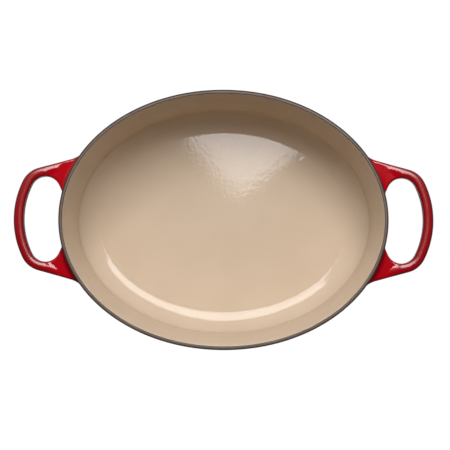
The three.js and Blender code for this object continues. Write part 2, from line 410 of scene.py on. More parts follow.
@dataclass(frozen=True)
class CastIron:
    """Bare grey iron as it leaves the sand mould."""

    name: str = "cast_iron"
    colour: Triple = (0.16, 0.155, 0.15)
    dark_colour: Triple = (0.07, 0.066, 0.062)
    roughness: float = 0.62
    metallic: float = 0.75
    grain_range: tuple[float, float] = (0.35, 0.7)
    grain_layers: float = 3.0
    peel_size: float = 1.3 * MM
    peel_depth: float = 0.09 * MM
    wave_size: float = 9 * MM
    wave_depth: float = 0.1 * MM

    def material(self, workshop: Workshop) -> Material:
        """Makes the material.

        Args:
            workshop: the shared node groups.

        Returns:
            The new material.
        """
        made, w = new_material(self.name)
        place = w.add("ShaderNodeTexCoord").outputs["Object"]
        grain = w.ramp(w.noise(place, self.peel_size, self.grain_layers), *self.grain_range)
        feeds = {
            "Base Color": w.blend(grain, (*self.dark_colour, 1.0), (*self.colour, 1.0)),
            "Roughness": self.roughness,
            "Metallic": self.metallic,
        }
        workshop.shade(w, place, self, feeds)
        return made


class SweepInput(Enum):
    """Inputs of the oval sweep, with the kind of socket that each one has."""

    SECTION = ("Section", GEOMETRY)
    SEGMENTS = ("Segments", "NodeSocketInt")
    HALF_LENGTH = ("Half Length", FLOAT)
    HALF_WIDTH = ("Half Width", FLOAT)
    POWER = ("Oval Power", FLOAT)
    FLAT = ("Flat Half Width", FLOAT)
    STEEP_TOP = ("Steep Top", FLOAT)
    STEEP_FOOT = ("Steep Foot", FLOAT)
    STEEPNESS = ("Steepness", FLOAT)
    CREASE = ("Crease Angle", FLOAT)
    MATERIAL = ("Material", "NodeSocketMaterial")

    @property
    def label(self) -> str:
        """Name of the socket."""
        return self.value[0]

    @property
    def kind(self) -> str:
        """Type of the socket."""
        return self.value[1]


def oval_sweep_tree() -> GeometryNodeTree:
    """Makes the rule that carries a half-section once round the oval dish.

    The section is a chain of points in the XZ plane: X is the half-width across the dish. The rings of a
    round dish are stretched to the oval, so that a wall has the same thickness all round. Between two
    heights the ends of the dish are steeper than its sides.

    Returns:
        The node tree, with one named input for each size.
    """
    inputs = {entry.label: entry.kind for entry in SweepInput}
    w = new_group("oval_sweep", inputs, {"Geometry": GEOMETRY}, "GeometryNodeTree")
    sockets = w.add("NodeGroupInput").outputs
    given = {entry: sockets[entry.label] for entry in SweepInput}
    section = given[SweepInput.SECTION]
    segments = given[SweepInput.SEGMENTS]
    power = given[SweepInput.POWER]

    size = w.add("GeometryNodeAttributeDomainSize", {"Geometry": section}, component="MESH")
    count = size.outputs["Point Count"]
    rings = w.math("ADD", segments, 1)
    grid = w.add("GeometryNodeMeshGrid", {"Vertices X": rings, "Vertices Y": count})
    index = w.add("GeometryNodeInputIndex").outputs["Index"]
    ring = w.math("FLOORED_MODULO", w.math("FLOOR", w.math("DIVIDE", index, count)), segments)
    station = w.math("FLOORED_MODULO", index, count)
    turn = w.math("MULTIPLY", w.math("DIVIDE", ring, segments), math.tau)

    position = w.add("GeometryNodeInputPosition").outputs["Position"]
    here = {"Geometry": section, "Index": station}
    sample = w.add("GeometryNodeSampleIndex", {**here, "Value": position}, data_type="FLOAT_VECTOR")
    place = w.add("ShaderNodeSeparateXYZ", {"Vector": sample.outputs["Value"]}).outputs
    named = w.add("GeometryNodeInputNamedAttribute", {"Name": EDGE}, data_type="FLOAT")
    edge = named.outputs["Attribute"]
    edge_sample = w.add("GeometryNodeSampleIndex", {**here, "Value": edge}, data_type="FLOAT")

    cosine = w.math("COSINE", turn)
    sine = w.math("SINE", turn)
    along = w.math("POWER", w.math("ABSOLUTE", cosine), power)
    across = w.math("POWER", w.math("ABSOLUTE", sine), power)
    fullness = w.math("POWER", w.math("ADD", along, across), w.math("DIVIDE", -1.0, power))
    top = given[SweepInput.STEEP_TOP]
    low = w.math("MINIMUM", w.math("MAXIMUM", place["Z"], given[SweepInput.STEEP_FOOT]), top)
    steep = w.math("MULTIPLY", w.math("SUBTRACT", top, low), given[SweepInput.STEEPNESS])
    rim_longer = w.math("SUBTRACT", given[SweepInput.HALF_LENGTH], given[SweepInput.HALF_WIDTH])
    longer = w.math("ADD", rim_longer, steep)
    width = w.math("MAXIMUM", place["X"], given[SweepInput.FLAT])
    stretch = w.math("ADD", 1.0, w.math("DIVIDE", longer, width))
    reach = w.math("MULTIPLY", place["X"], fullness)
    x = w.math("MULTIPLY", w.math("MULTIPLY", reach, cosine), stretch)
    y = w.math("MULTIPLY", reach, sine)
    moved = w.add("ShaderNodeCombineXYZ", {"X": x, "Y": y, "Z": place["Z"]}).outputs["Vector"]

    bend = w.add("GeometryNodeInputMeshEdgeAngle").outputs["Unsigned Angle"]
    soft = w.math("LESS_THAN", bend, given[SweepInput.CREASE])
    marks = {"Name": EDGE, "Value": edge_sample.outputs["Value"]}
    steps = (
        ("GeometryNodeSetPosition", {"Position": moved}, {}),
        ("GeometryNodeStoreNamedAttribute", marks, {}),
        ("GeometryNodeMergeByDistance", {"Distance": MERGE_DISTANCE}, {}),
        ("GeometryNodeSetShadeSmooth", {"Shade Smooth": soft}, {"domain": "EDGE"}),
        ("GeometryNodeRealizeInstances", {}, {}),
        ("GeometryNodeSetMaterial", {"Material": given[SweepInput.MATERIAL]}, {}),
    )
    made = grid.outputs["Mesh"]
    for kind, feeds, settings in steps:
        made = w.add(kind, {"Geometry": made, **feeds}, **settings).outputs["Geometry"]
    w.add("NodeGroupOutput", {"Geometry": made})
    return w.tree


def arc(centre: tuple[float, float], radius: float, start: float, end: float, steps: int) -> Array:
    """Points along a round stretch of a section.

    Args:
        centre: half-width and height of the middle of the round.
        radius: its radius.
        start: the angle of its first point, from the outward direction.
        end: the angle of its last point.
        steps: how many straight steps it is made of.

    Returns:
        One row of half-width and height for each point.
    """
    angles = np.linspace(start, end, steps + 1)
    return np.asarray(centre) + radius * np.column_stack((np.cos(angles), np.sin(angles)))


def line(start: Array, end: Array, steps: int) -> Array:
    """Points along a straight stretch of a section, without its last one."""
    shares = np.arange(steps)[:, None] / steps
    return np.asarray(start) + (np.asarray(end) - np.asarray(start)) * shares


def left_normals(outline: Array) -> Array:
    """Unit normals to the left of a chain of points.

    Args:
        outline: the points, one row for each.

    Returns:
        A normal for each point, the mean of those of the steps beside it.
    """
    steps = np.diff(outline, axis=0)
    steps /= np.linalg.norm(steps, axis=1, keepdims=True)
    turned = np.column_stack((-steps[:, 1], steps[:, 0]))
    padded = np.vstack((turned[:1], turned, turned[-1:]))
    mean = padded[:-1] + padded[1:]
    return mean / np.linalg.norm(mean, axis=1, keepdims=True)


def running_length(outline: Array) -> Array:
    """Distance of each point from the first one, along a chain of points."""
    return np.concatenate(([0.0], np.cumsum(np.linalg.norm(np.diff(outline, axis=0), axis=1))))


def heading(angle: float) -> Array:
    """Unit vector at an angle from X."""
    return np.array((math.cos(angle), math.sin(angle)))


def crosswise(angle: float) -> Array:
    """Unit vector a quarter turn on from an angle."""
    return np.array((-math.sin(angle), math.cos(angle)))


def fade(distance: Array, length: Array | float) -> Array:
    """1 at no distance, falling smoothly to 0 over a length."""
    share = np.clip(1 - distance / length, 0, 1)
    return share * share * (3 - 2 * share)


def enlist(piece: Object, node: str) -> None:
    """Puts a finished piece on the dish's one body, in place of its CAD node.

    Args:
        piece: the piece, at the origin, with its place in its mesh.
        node: the CAD node that it stands for.
    """
    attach(piece, ROOT_BODY)
    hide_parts(node)
    piece.data.calc_loop_triangles()
    LOG.info("%s stands for %s with %d triangles", piece.name, node, len(piece.data.loop_triangles))


@dataclass(frozen=True)
class Pot:
    """The oval pot: lining, rim, outer wall and base, each a coat of enamel on the casting."""

    half_length: float = 145 * MM
    half_width: float = 114.3 * MM
    power: float = 2.02
    height: float = 118 * MM
    rim_land: float = 3.5 * MM
    rim_round: float = 1.0 * MM
    rim_wrap: float = 1.2 * MM
    lip_round: float = 1.2 * MM
    lip_seam: float = math.radians(146)
    inner_draft: float = math.radians(3.5)
    outer_draft: float = math.radians(3.4)
    end_draft: float = math.radians(2.4)
    rim_depth: float = 6 * MM
    floor_z: float = 5.8 * MM
    floor_sweep: float = 26 * MM
    floor_corner: float = 5 * MM
    sweep_rise: float = math.radians(49.5)
    base_round: float = 16 * MM
    foot_width: float = 8 * MM
    foot_height: float = 1.2 * MM
    foot_edge: float = 0.8 * MM
    foot_slant: float = math.radians(45)
    coat: float = 0.5 * MM
    # Widths of the rim band's dark lines, and how far in from the band's end the outer one lies; that
    # outer line is painted shade.
    dark_line: float = 0.6 * MM
    dark_outside: float = 2.7 * MM
    thin_edge: float = 1.6 * MM
    normal_reach: float = 1 * MM
    segments: int = 240
    crease: float = math.radians(40)
    floor_steps: int = 14
    sweep_steps: int = 30
    corner_steps: int = 14
    lining_steps: int = 18
    lip_steps: int = 6
    land_steps: int = 6
    rim_edge_steps: int = 10
    wrap_steps: int = 3
    wall_steps: int = 40
    base_steps: int = 26
    tread_steps: int = 6
    foot_edge_steps: int = 5
    underside_steps: int = 12

    def inner_wall(self, z: float) -> float:
        """Half-width of the hollow at a height."""
        return self.half_width - self.rim_land - (self.height - z) * math.tan(self.inner_draft)

    def outer_wall(self, z: Array | float) -> Array | float:
        """Half-width of the outside at a height."""
        return self.half_width - (self.height - z) * math.tan(self.outer_draft)

    @property
    def steepness(self) -> float:
        """How much longer the plan gets for each metre down, because its ends are steeper."""
        return math.tan(self.inner_draft) - math.tan(self.end_draft)

    @property
    def corner_z(self) -> float:
        """Height of the wall's foot, at which the turn from the floor ends."""
        narrowing = self.floor_sweep - self.floor_corner
        return self.floor_z + self.floor_sweep - narrowing * math.cos(self.sweep_rise)

    @property
    def steep_top(self) -> float:
        """Height below which the ends are steeper than the sides."""
        return self.height - self.rim_depth

    def lengthening(self, z: Array) -> Array:
        """How much the half-length of the plan exceeds its half-width at a height."""
        depth = self.steep_top - np.clip(z, self.corner_z, self.steep_top)
        return self.half_length - self.half_width + depth * self.steepness

    def excess(self, places: Array) -> Array:
        """How far places lie outside the outer wall.

        Args:
            places: points, with X, Y and Z along the last axis.

        Returns:
            A number for each point: 0 on the wall, below 0 inside it.
        """
        across = self.outer_wall(places[..., 2])
        along = across + self.lengthening(places[..., 2])
        x_term = np.abs(places[..., 0] / along) ** self.power
        y_term = np.abs(places[..., 1] / across) ** self.power
        return (x_term + y_term) ** (1 / self.power) - 1

    def onto_wall(self, places: Array) -> Array:
        """Moves places level, along the line from the middle of the dish, onto the outer wall."""
        scale = 1 / (1 + self.excess(places))
        return places * np.stack((scale, scale, np.ones_like(scale)), axis=-1)

    def wall_normals(self, places: Array) -> Array:
        """Unit normals of the outer wall, pointing out of the dish.

        Args:
            places: points on the wall, with X, Y and Z along the last axis.

        Returns:
            One normal for each point.
        """
        steps = self.normal_reach * np.eye(3)
        slopes = [self.excess(places + step) - self.excess(places - step) for step in steps]
        normals = np.stack(slopes, axis=-1)
        return normals / np.linalg.norm(normals, axis=-1, keepdims=True)

    def lip(self, start: float, end: float) -> Array:
        """Points along the round at the rim's inner edge.

        Args:
            start: the angle of the first point, from the outward direction.
            end: the angle of the last point.

        Returns:
            One row of half-width and height for each point.
        """
        z = self.height - self.lip_round
        middle = (self.inner_wall(z) + self.lip_round / math.cos(self.inner_draft), z)
        return arc(middle, self.lip_round, start, end, self.lip_steps)

    def lining_outline(self) -> Array:
        """Finished face of the lining.

        Returns:
            Its points, from the middle of the floor up to the seam on the rim's inner edge.
        """
        narrowing = self.floor_sweep - self.floor_corner
        sweep_end = self.sweep_rise - math.pi / 2
        corner_r = self.inner_wall(self.corner_z) - self.floor_corner / math.cos(self.inner_draft)
        corner_middle = (corner_r, self.corner_z)
        corner = arc(corner_middle, self.floor_corner, sweep_end, -self.inner_draft, self.corner_steps)
        sweep_middle = (corner_r - narrowing * math.sin(self.sweep_rise), self.floor_z + self.floor_sweep)
        sweep = arc(sweep_middle, self.floor_sweep, -math.pi / 2, sweep_end, self.sweep_steps)
        lip = self.lip(math.pi - self.inner_draft, self.lip_seam)
        floor = line((0.0, self.floor_z), sweep[0], self.floor_steps)
        wall = line(corner[-1], lip[0], self.lining_steps)[1:]
        return np.vstack((floor, sweep, corner[1:], wall, lip))

    def rim_outline(self) -> Array:
        """Finished face of the rim's band.

        Returns:
            Its points, from the seam over the land and down the outer edge.
        """
        lip = self.lip(self.lip_seam, math.pi / 2)
        round_z = self.height - self.rim_round
        round_r = self.outer_wall(round_z) - self.rim_round / math.cos(self.outer_draft)
        middle = (round_r, round_z)
        edge = arc(middle, self.rim_round, math.pi / 2, -self.outer_draft, self.rim_edge_steps)
        down = np.array((-math.sin(self.outer_draft), -math.cos(self.outer_draft)))
        wrap = edge[-1] + down * self.rim_wrap
        land = line(lip[-1], edge[0], self.land_steps)[1:]
        return np.vstack((lip, land, edge, line(edge[-1], wrap, self.wrap_steps)[1:], wrap))

    def wall_outline(self) -> Array:
        """Finished face of the outer wall.

        Returns:
            Its points, from the rim's band down to the foot.
        """
        start = self.rim_outline()[-1]
        round_r = self.outer_wall(self.base_round) - self.base_round / math.cos(self.outer_draft)
        middle = (round_r, self.base_round)
        base = arc(middle, self.base_round, -self.outer_draft, -math.pi / 2, self.base_steps)
        return np.vstack((line(start, base[0], self.wall_steps), base))

    def base_outline(self) -> Array:
        """Finished face of the underside.

        Returns:
            Its points, from the foot in to the middle.
        """
        start = self.wall_outline()[-1]
        edge, slant, down = self.foot_edge, self.foot_slant, -math.pi / 2
        foot = (start[0] - self.foot_width, edge)
        outer = arc(foot, edge, down, down - slant, self.foot_edge_steps)
        recess = (self.flat_half_width(), self.foot_height - edge)
        inner = arc(recess, edge, math.pi / 2 - slant, math.pi / 2, self.foot_edge_steps)
        middle = np.array((0.0, self.foot_height))
        tread = line(start, outer[0], self.tread_steps)
        underside = line(inner[-1], middle, self.underside_steps)[1:]
        return np.vstack((tread, outer, inner, underside, middle))

    def flat_half_width(self) -> float:
        """Half-width of the middle of the dish, in which floor and base are level."""
        foot = self.wall_outline()[-1, 0] - self.foot_width
        return float(foot - self.foot_height / math.tan(self.foot_slant))

    def section(self, outline: Array) -> Array:
        """Closes a finished face into the section of a coat.

        Args:
            outline: points of the finished face, with the iron to their right.

        Returns:
            The points of the face and back along the iron, closed except on the axis.
        """
        iron = outline - left_normals(outline) * self.coat
        iron[outline[:, 0] == 0, 0] = 0
        if outline[-1, 0] == 0:
            return np.vstack((iron[:1], outline, iron[::-1]))
        chain = np.vstack((outline, iron[::-1]))
        return chain if outline[0, 0] == 0 else np.vstack((chain, chain[:1]))

    def sweep(
        self,
        name: str,
        outline: Array,
        edge: Array | float,
        tree: GeometryNodeTree,
        material: Material,
    ) -> Object:
        """Carries the section of one coat round the dish.

        Args:
            name: the piece's name.
            outline: its finished face.
            edge: how far the coat is darkened and dulled at each point of that face; round the rim's
                outer edge this is painted shade.
            tree: the oval sweep.
            material: its finish.

        Returns:
            The piece, as a plain mesh.
        """
        section = self.section(outline)
        marks = np.zeros(len(section))
        first = 1 if outline[-1, 0] == 0 else 0
        marks[first : first + len(outline)] = edge
        chain = bpy.data.meshes.new(f"{name}_section")
        places = [(float(r), 0.0, float(z)) for r, z in section]
        chain.from_pydata(places, [(i, i + 1) for i in range(len(places) - 1)], [])
        chain.attributes.new(EDGE, "FLOAT", "POINT").data.foreach_set("value", marks)
        maker = add_object(f"{name}_maker", chain)
        modifier = maker.modifiers.new("oval_sweep", "NODES")
        modifier.node_group = tree
        values = {
            SweepInput.SEGMENTS: self.segments,
            SweepInput.HALF_LENGTH: self.half_length,
            SweepInput.HALF_WIDTH: self.half_width,
            SweepInput.POWER: self.power,
            SweepInput.FLAT: self.flat_half_width(),
            SweepInput.STEEP_TOP: self.steep_top,
            SweepInput.STEEP_FOOT: self.corner_z,
            SweepInput.STEEPNESS: self.steepness,
            SweepInput.CREASE: self.crease,
            SweepInput.MATERIAL: material,
        }
        items = tree.interface.items_tree
        sockets = {item.name: item.identifier for item in items if item.in_out == "INPUT"}
        for entry, value in values.items():
            modifier[sockets[entry.label]] = value
        evaluated = maker.evaluated_get(bpy.context.evaluated_depsgraph_get())
        mesh = bpy.data.meshes.new_from_object(evaluated)
        mesh.name = name
        piece = add_object(name, mesh)
        bpy.data.objects.remove(maker)
        bpy.data.meshes.remove(chain)
        return piece

    def build(self, sand: Material, rim: Material, red: Material) -> None:
        """Makes the four coats of the pot and puts them in place of their CAD nodes.

        Args:
            sand: the finish of the lining.
            rim: the finish of the rim's band.
            red: the finish of the outer wall and the base.
        """
        tree = oval_sweep_tree()
        band = self.rim_outline()
        gone = running_length(band)
        # Dark lines along the band's seam with the lining and round its outer edge; the outer one is
        # painted shade.
        outside = gone[-1] - gone - self.dark_outside
        band_edge = np.maximum(fade(gone, self.dark_line), fade(outside, self.dark_line))
        wall = self.wall_outline()
        wall_edge = fade(running_length(wall), self.thin_edge)
        coats = (
            ("sand_lining", self.lining_outline(), 0.0, sand, "interior_enamel", Slot.SAND),
            ("rim_band", band, band_edge, rim, "rim_enamel", Slot.RIM),
            ("red_wall", wall, wall_edge, red, "exterior_enamel", Slot.RED),
            ("red_base", self.base_outline(), 0.0, red, "base_enamel", Slot.RED),
        )
        for name, outline, edge, material, node, slot in coats:
            enlist(self.sweep(name, outline, edge, tree, material), node)


@dataclass(frozen=True)
class LoopHandle:
    """A loop handle cast onto one end of the pot: a bowed bar on two webs, under red enamel."""

    pot: Pot
    end: End
    reach: float = 40.4 * MM
    drop: float = 16 * MM
    tilt: float = math.radians(3)
    bar_width: float = 8.4 * MM
    bar_height: float = 13 * MM
    bar_crown: float = 9 * MM
    bar_edge: float = 1.4 * MM
    bar_bow: float = 77.3 * MM
    opening_length: float = 75.5 * MM
    opening_corner: float = 13.5 * MM
    opening_leave: float = math.radians(156)
    web_height: float = 10 * MM
    web_slope: float = math.radians(15.6)
    step_outer: tuple[float, float] = (4 * MM, 24 * MM)
    step_inner: tuple[float, float] = (3.4 * MM, 9.4 * MM)
    web_edge: float = 2.2 * MM
    root_sink: float = 4 * MM
    face_blend: float = 5 * MM
    outer_blend: float = 9 * MM
    inner_blend: float = 5 * MM
    blend_pull: float = 0.55
    # How dark and dull the sleeve's enamel is: thin enamel, and painted shade on the edges and at the
    # roots on the wall.
    bow_thin_and_shade: float = 0.42
    run_thin_and_shade: float = 0.32
    root_painted_shade: float = 0.6
    outer_thin_and_shade: float = 1.0
    inner_thin_and_shade: float = 0.65
    edge_power: int = 8
    coat: float = 0.4 * MM
    bow_rings: int = 20
    corner_rings: int = 44
    web_rings: int = 60
    blend_rings: int = 12
    rail_steps: int = 300
    ray_steps: int = 6000
    edge_steps: int = 7
    face_steps: int = 20
    side_steps: int = 3

    def ring_marks(self) -> Array:
        """Places round a cross-section, as a rectangle with round edges.

        Returns:
            For each point, the corner or side that it belongs to, across and up from -1 to 1, and its
            normal across and up.
        """
        corners = ((1, 1), (-1, 1), (-1, -1), (1, -1))
        marks = []
        for quarter, corner in enumerate(corners):
            after = corners[(quarter + 1) % len(corners)]
            for turn in np.linspace(quarter, quarter + 1, self.edge_steps + 1) * math.pi / 2:
                marks.append((*corner, math.cos(turn), math.sin(turn)))
            steps = self.side_steps if quarter % 2 else self.face_steps
            for share in np.arange(1, steps) / steps:
                between = [a + (b - a) * share for a, b in zip(corner, after)]
                marks.append((*between, *marks[-1][2:]))
        return np.array(marks)

    def rings(self, inner: Array, outer: Array, bar: Array) -> tuple[Array, Array]:
        """Cross-sections between the inner and the outer edge of the loop.

        Args:
            inner: X and Y of the inner edge, one row for each section.
            outer: X and Y of the outer edge.
            bar: how much of the bar's height each point has, from 0 on the web to 1 on the bar.

        Returns:
            The places and the outward directions of every point of every section.
        """
        marks = self.ring_marks()
        middle = (inner + outer) / 2
        width = np.linalg.norm(outer - inner, axis=1)
        across = (outer - inner) / width[:, None]
        half_width = width[:, None] / 2
        half_height = (self.web_height + (self.bar_height - self.web_height) * bar) / 2
        radius = self.web_edge + (self.bar_edge - self.web_edge) * bar
        sideways = marks[:, 0] * (half_width - radius) + marks[:, 2] * radius
        upward = marks[:, 1] * (half_height - radius) + marks[:, 3] * radius
        crown = bar * (1 + marks[:, 1]) / 2
        upward = upward - crown * sideways**2 / (2 * self.bar_crown)
        web_z = self.pot.height - self.drop
        level = web_z + (middle[:, 0] - self.pot.half_length) * math.tan(self.tilt)
        flat = middle[:, None, :] + across[:, None, :] * sideways[:, :, None]
        places = np.concatenate((flat, (level[:, None] + upward)[:, :, None]), axis=2)
        outward = across[:, None, :] * marks[None, :, 2:3]
        rise = np.broadcast_to(marks[:, 3], sideways.shape)[:, :, None]
        return places, np.concatenate((outward, rise), axis=2)

    def half_loop(self) -> tuple[Array, Array]:
        """Makes half a handle at +X, from the middle of its bar to its root on the wall.

        Returns:
            Its rings, and how dark and dull the enamel is in the middle of each of them.
        """
        bow_inside = self.bar_bow - self.bar_width
        bow_centre = np.array((self.pot.half_length + self.reach - self.bar_bow, 0.0))
        corner_y = self.opening_length / 2 - self.opening_corner
        corner_reach = bow_inside - self.opening_corner
        bow_end = math.asin(corner_y / corner_reach)
        corner = bow_centre + corner_reach * heading(bow_end)
        web_start = math.pi / 2 - self.web_slope
        bow = arc((0, 0), 1, 0, bow_end, self.bow_rings)[:-1]
        turn = arc((0, 0), 1, bow_end, web_start, self.corner_rings)[:-1]
        inner = np.vstack((bow_centre + bow * bow_inside, corner + turn * self.opening_corner))
        turn_outside = self.opening_corner + self.bar_width
        outer = np.vstack((bow_centre + bow * self.bar_bow, corner + turn * turn_outside))
        bar_rings = self.rings(inner, outer, np.ones((len(inner), 1)))[0]
        bow_darkening = np.full(len(bow), self.bow_thin_and_shade)
        turn_darkening = np.linspace(self.bow_thin_and_shade, self.run_thin_and_shade, len(turn))
        darkening = np.concatenate((bow_darkening, turn_darkening))
        bar_darkening = np.repeat(darkening[:, None], bar_rings.shape[1], axis=1)
        web_rings, web_bar = self.web(corner, web_start)
        web_darkening = web_bar * self.run_thin_and_shade
        # The rings that run into the wall get painted shade, darker towards the wall.
        web_darkening[self.web_rings :] += np.linspace(0, self.root_painted_shade, self.blend_rings)[:, None]
        return np.concatenate((bar_rings, web_rings)), np.concatenate((bar_darkening, web_darkening))

    def web(self, corner: Array, start: float) -> tuple[Array, Array]:
        """Rings of one web, from the end of the bar to its root on the wall.

        Args:
            corner: the middle of the opening's corner.
            start: the angle at which the bar ends, seen from there.

        Returns:
            The rings, and how much of the bar's height each of their points has.
        """
        run = crosswise(start)
        outer_start = corner + heading(start) * (self.opening_corner + self.bar_width)
        outer_length = self.length_to_wall(outer_start, run) + self.root_sink
        leave = corner + self.opening_corner * heading(self.opening_leave)
        leave_run = crosswise(self.opening_leave)
        round_length = self.opening_corner * (self.opening_leave - start)
        inner_length = round_length + self.length_to_wall(leave, leave_run) + self.root_sink

        shares = np.linspace(0, 1, self.rail_steps + 1)
        outer = outer_start + shares[:, None] * outer_length * run
        gone = shares * inner_length
        angles = start + np.minimum(gone, round_length) / self.opening_corner
        inner = corner + self.opening_corner * np.column_stack((np.cos(angles), np.sin(angles)))
        inner += np.maximum(gone - round_length, 0)[:, None] * leave_run
        outward = (1 + self.ring_marks()[:, 0]) / 2
        ends = zip(self.step_inner, self.step_outer)
        top, foot = ((1 - outward) * a / inner_length + outward * b / outer_length for a, b in ends)
        bar = fade(shares[:, None] - top, foot - top)
        return self.rooted(*self.rings(inner, outer, bar), bar)

    def length_to_wall(self, start: Array, run: Array) -> float:
        """Distance from a point outside the pot to its wall, at the web's height.

        Args:
            start: X and Y of the point.
            run: the direction, as a unit vector.

        Returns:
            The distance along that direction.
        """
        lengths = np.linspace(0, self.pot.half_length, self.ray_steps)
        flat = start + lengths[:, None] * run
        places = np.column_stack((flat, np.full(len(flat), self.pot.height - self.drop)))
        return float(lengths[np.argmax(self.pot.excess(places) < 0)])

    def rooted(self, rails: Array, outward: Array, bar: Array) -> tuple[Array, Array]:
        """Ends every rail of a web on the wall, with a round that runs out along the wall.

        Args:
            rails: sections of the web drawn on into the wall, then the points round each section.
            outward: the outward direction of each of those points.
            bar: how much of the bar's height each of them has.

        Returns:
            Rings that end on the wall, and how much of the bar's height each of their points has.
        """
        marks = self.ring_marks()
        result = np.zeros((self.web_rings + self.blend_rings, len(marks), 3))
        result_bar = np.zeros(result.shape[:2])
        for i, (_, _, side, rise) in enumerate(marks):
            rail = rails[:, i]
            outside = self.pot.excess(rail)
            last = int(np.argmax(outside < 0))
            share = outside[last - 1] / (outside[last - 1] - outside[last])
            foot = rail[last - 1] + (rail[last] - rail[last - 1]) * share
            chain = np.vstack((rail[:last], foot))
            lengths = running_length(chain)
            side_blend = self.outer_blend if side > 0 else self.inner_blend
            blend = math.hypot(rise * self.face_blend, side * side_blend)
            stops = np.linspace(0, lengths[-1] - blend, self.web_rings)
            axes = [np.interp(stops, lengths, axis) for axis in chain.T]
            result[: self.web_rings, i] = np.column_stack(axes)
            result_bar[: self.web_rings, i] = np.interp(stops, lengths, bar[: last + 1, i])
            start = result[self.web_rings - 1, i]
            into = (foot - start) / np.linalg.norm(foot - start)
            landing = self.pot.onto_wall(foot + self.along_wall(foot, outward[last, i]) * blend)
            tangent = self.along_wall(landing, outward[last, i])
            pull = blend * self.blend_pull
            t = (np.arange(1, self.blend_rings + 1) / self.blend_rings)[:, None]
            weights = ((1 - t) ** 3, 3 * t * (1 - t) ** 2, 3 * t**2 * (1 - t), t**3)
            knots = (start, start + into * pull, landing - tangent * pull, landing)
            result[self.web_rings :, i] = sum(weight * knot for weight, knot in zip(weights, knots))
        return result, result_bar

    def along_wall(self, place: Array, direction: Array) -> Array:
        """The part of a direction that runs along the wall.

        Args:
            place: where on the wall.
            direction: the direction.

        Returns:
            A unit vector.
        """
        normal = self.pot.wall_normals(place)
        flat = direction - normal * np.dot(direction, normal)
        return flat / np.linalg.norm(flat)

    def thin_and_shade(self, middle: Array) -> Array:
        """How dark and dull the enamel is at each point, from thin enamel and painted shade, on the upper
        edges most of all.

        Args:
            middle: how dark and dull it is in the middle of the upper face, for each point of each ring.

        Returns:
            A number from 0 to 1 for each point.
        """
        marks = self.ring_marks()
        rise = np.clip(marks[:, 3], 0, 1)
        side = np.where(marks[:, 0] > 0, self.outer_thin_and_shade, self.inner_thin_and_shade)
        gain = 1 + (side / self.bow_thin_and_shade - 1) * marks[:, 0] ** self.edge_power
        face = np.minimum(middle * gain, 1) * (marks[:, 3] > 0)
        return np.maximum(face, HUMP_GAIN * rise * (1 - rise) * side)

    def build(self, red: Material) -> None:
        """Makes the handle's sleeve of enamel and puts it in place of its CAD node.

        Args:
            red: its finish.
        """
        side = self.end.name.lower()
        half, half_darkening = self.half_loop()
        mirrored = half[:0:-1] * np.array((1, -1, 1))
        rings = np.concatenate((mirrored, half)) * np.array((self.end.value, self.end.value, 1))
        darkening = np.concatenate((half_darkening[:0:-1], half_darkening))
        piece = sleeve(f"{side}_handle_sleeve", rings, self.thin_and_shade(darkening), self.coat)
        piece.data.materials.append(red)
        enlist(piece, f"{side}_handle_enamel")


def sleeve(name: str, rings: Array, edge: Array, thickness: float) -> Object:
    """A closed shell round a tube of rings.

    Args:
        name: the piece's name.
        rings: points of the finished face, ring by ring.
        edge: how dark and dull the coat is at each of them, from thin enamel and painted shade.
        thickness: how deep the shell is.

    Returns:
        The piece.
    """
    count, around = rings.shape[:2]
    along = np.gradient(rings, axis=0)
    across = np.roll(rings, -1, axis=1) - np.roll(rings, 1, axis=1)
    normals = np.cross(across, along)
    normals /= np.linalg.norm(normals, axis=2, keepdims=True)
    away = np.sum(normals * (rings - rings.mean(axis=1, keepdims=True)), axis=2)
    if away.mean() < 0:
        rings = rings[:, ::-1]
        edge = edge[:, ::-1]
        normals = -normals[:, ::-1]
    inside = rings - normals * thickness
    places = np.concatenate((rings.reshape(-1, 3), inside.reshape(-1, 3)))
    shift = count * around
    faces = []
    for i in range(around):
        j = (i + 1) % around
        for ring in range(count - 1):
            a, b = ring * around + i, ring * around + j
            c, d = b + around, a + around
            faces.append((a, b, c, d))
            faces.append((a + shift, d + shift, c + shift, b + shift))
        last = (count - 1) * around
        faces.append((j, i, i + shift, j + shift))
        faces.append((last + i, last + j, last + j + shift, last + i + shift))
    mesh = bpy.data.meshes.new(name)
    mesh.from_pydata(places.tolist(), [], faces)
    mesh.attributes.new(EDGE, "FLOAT", "POINT").data.foreach_set("value", np.tile(edge.ravel(), 2))
    mesh.shade_smooth()
    mesh.set_sharp_from_angle(angle=SLEEVE_CREASE)
    return add_object(name, mesh)


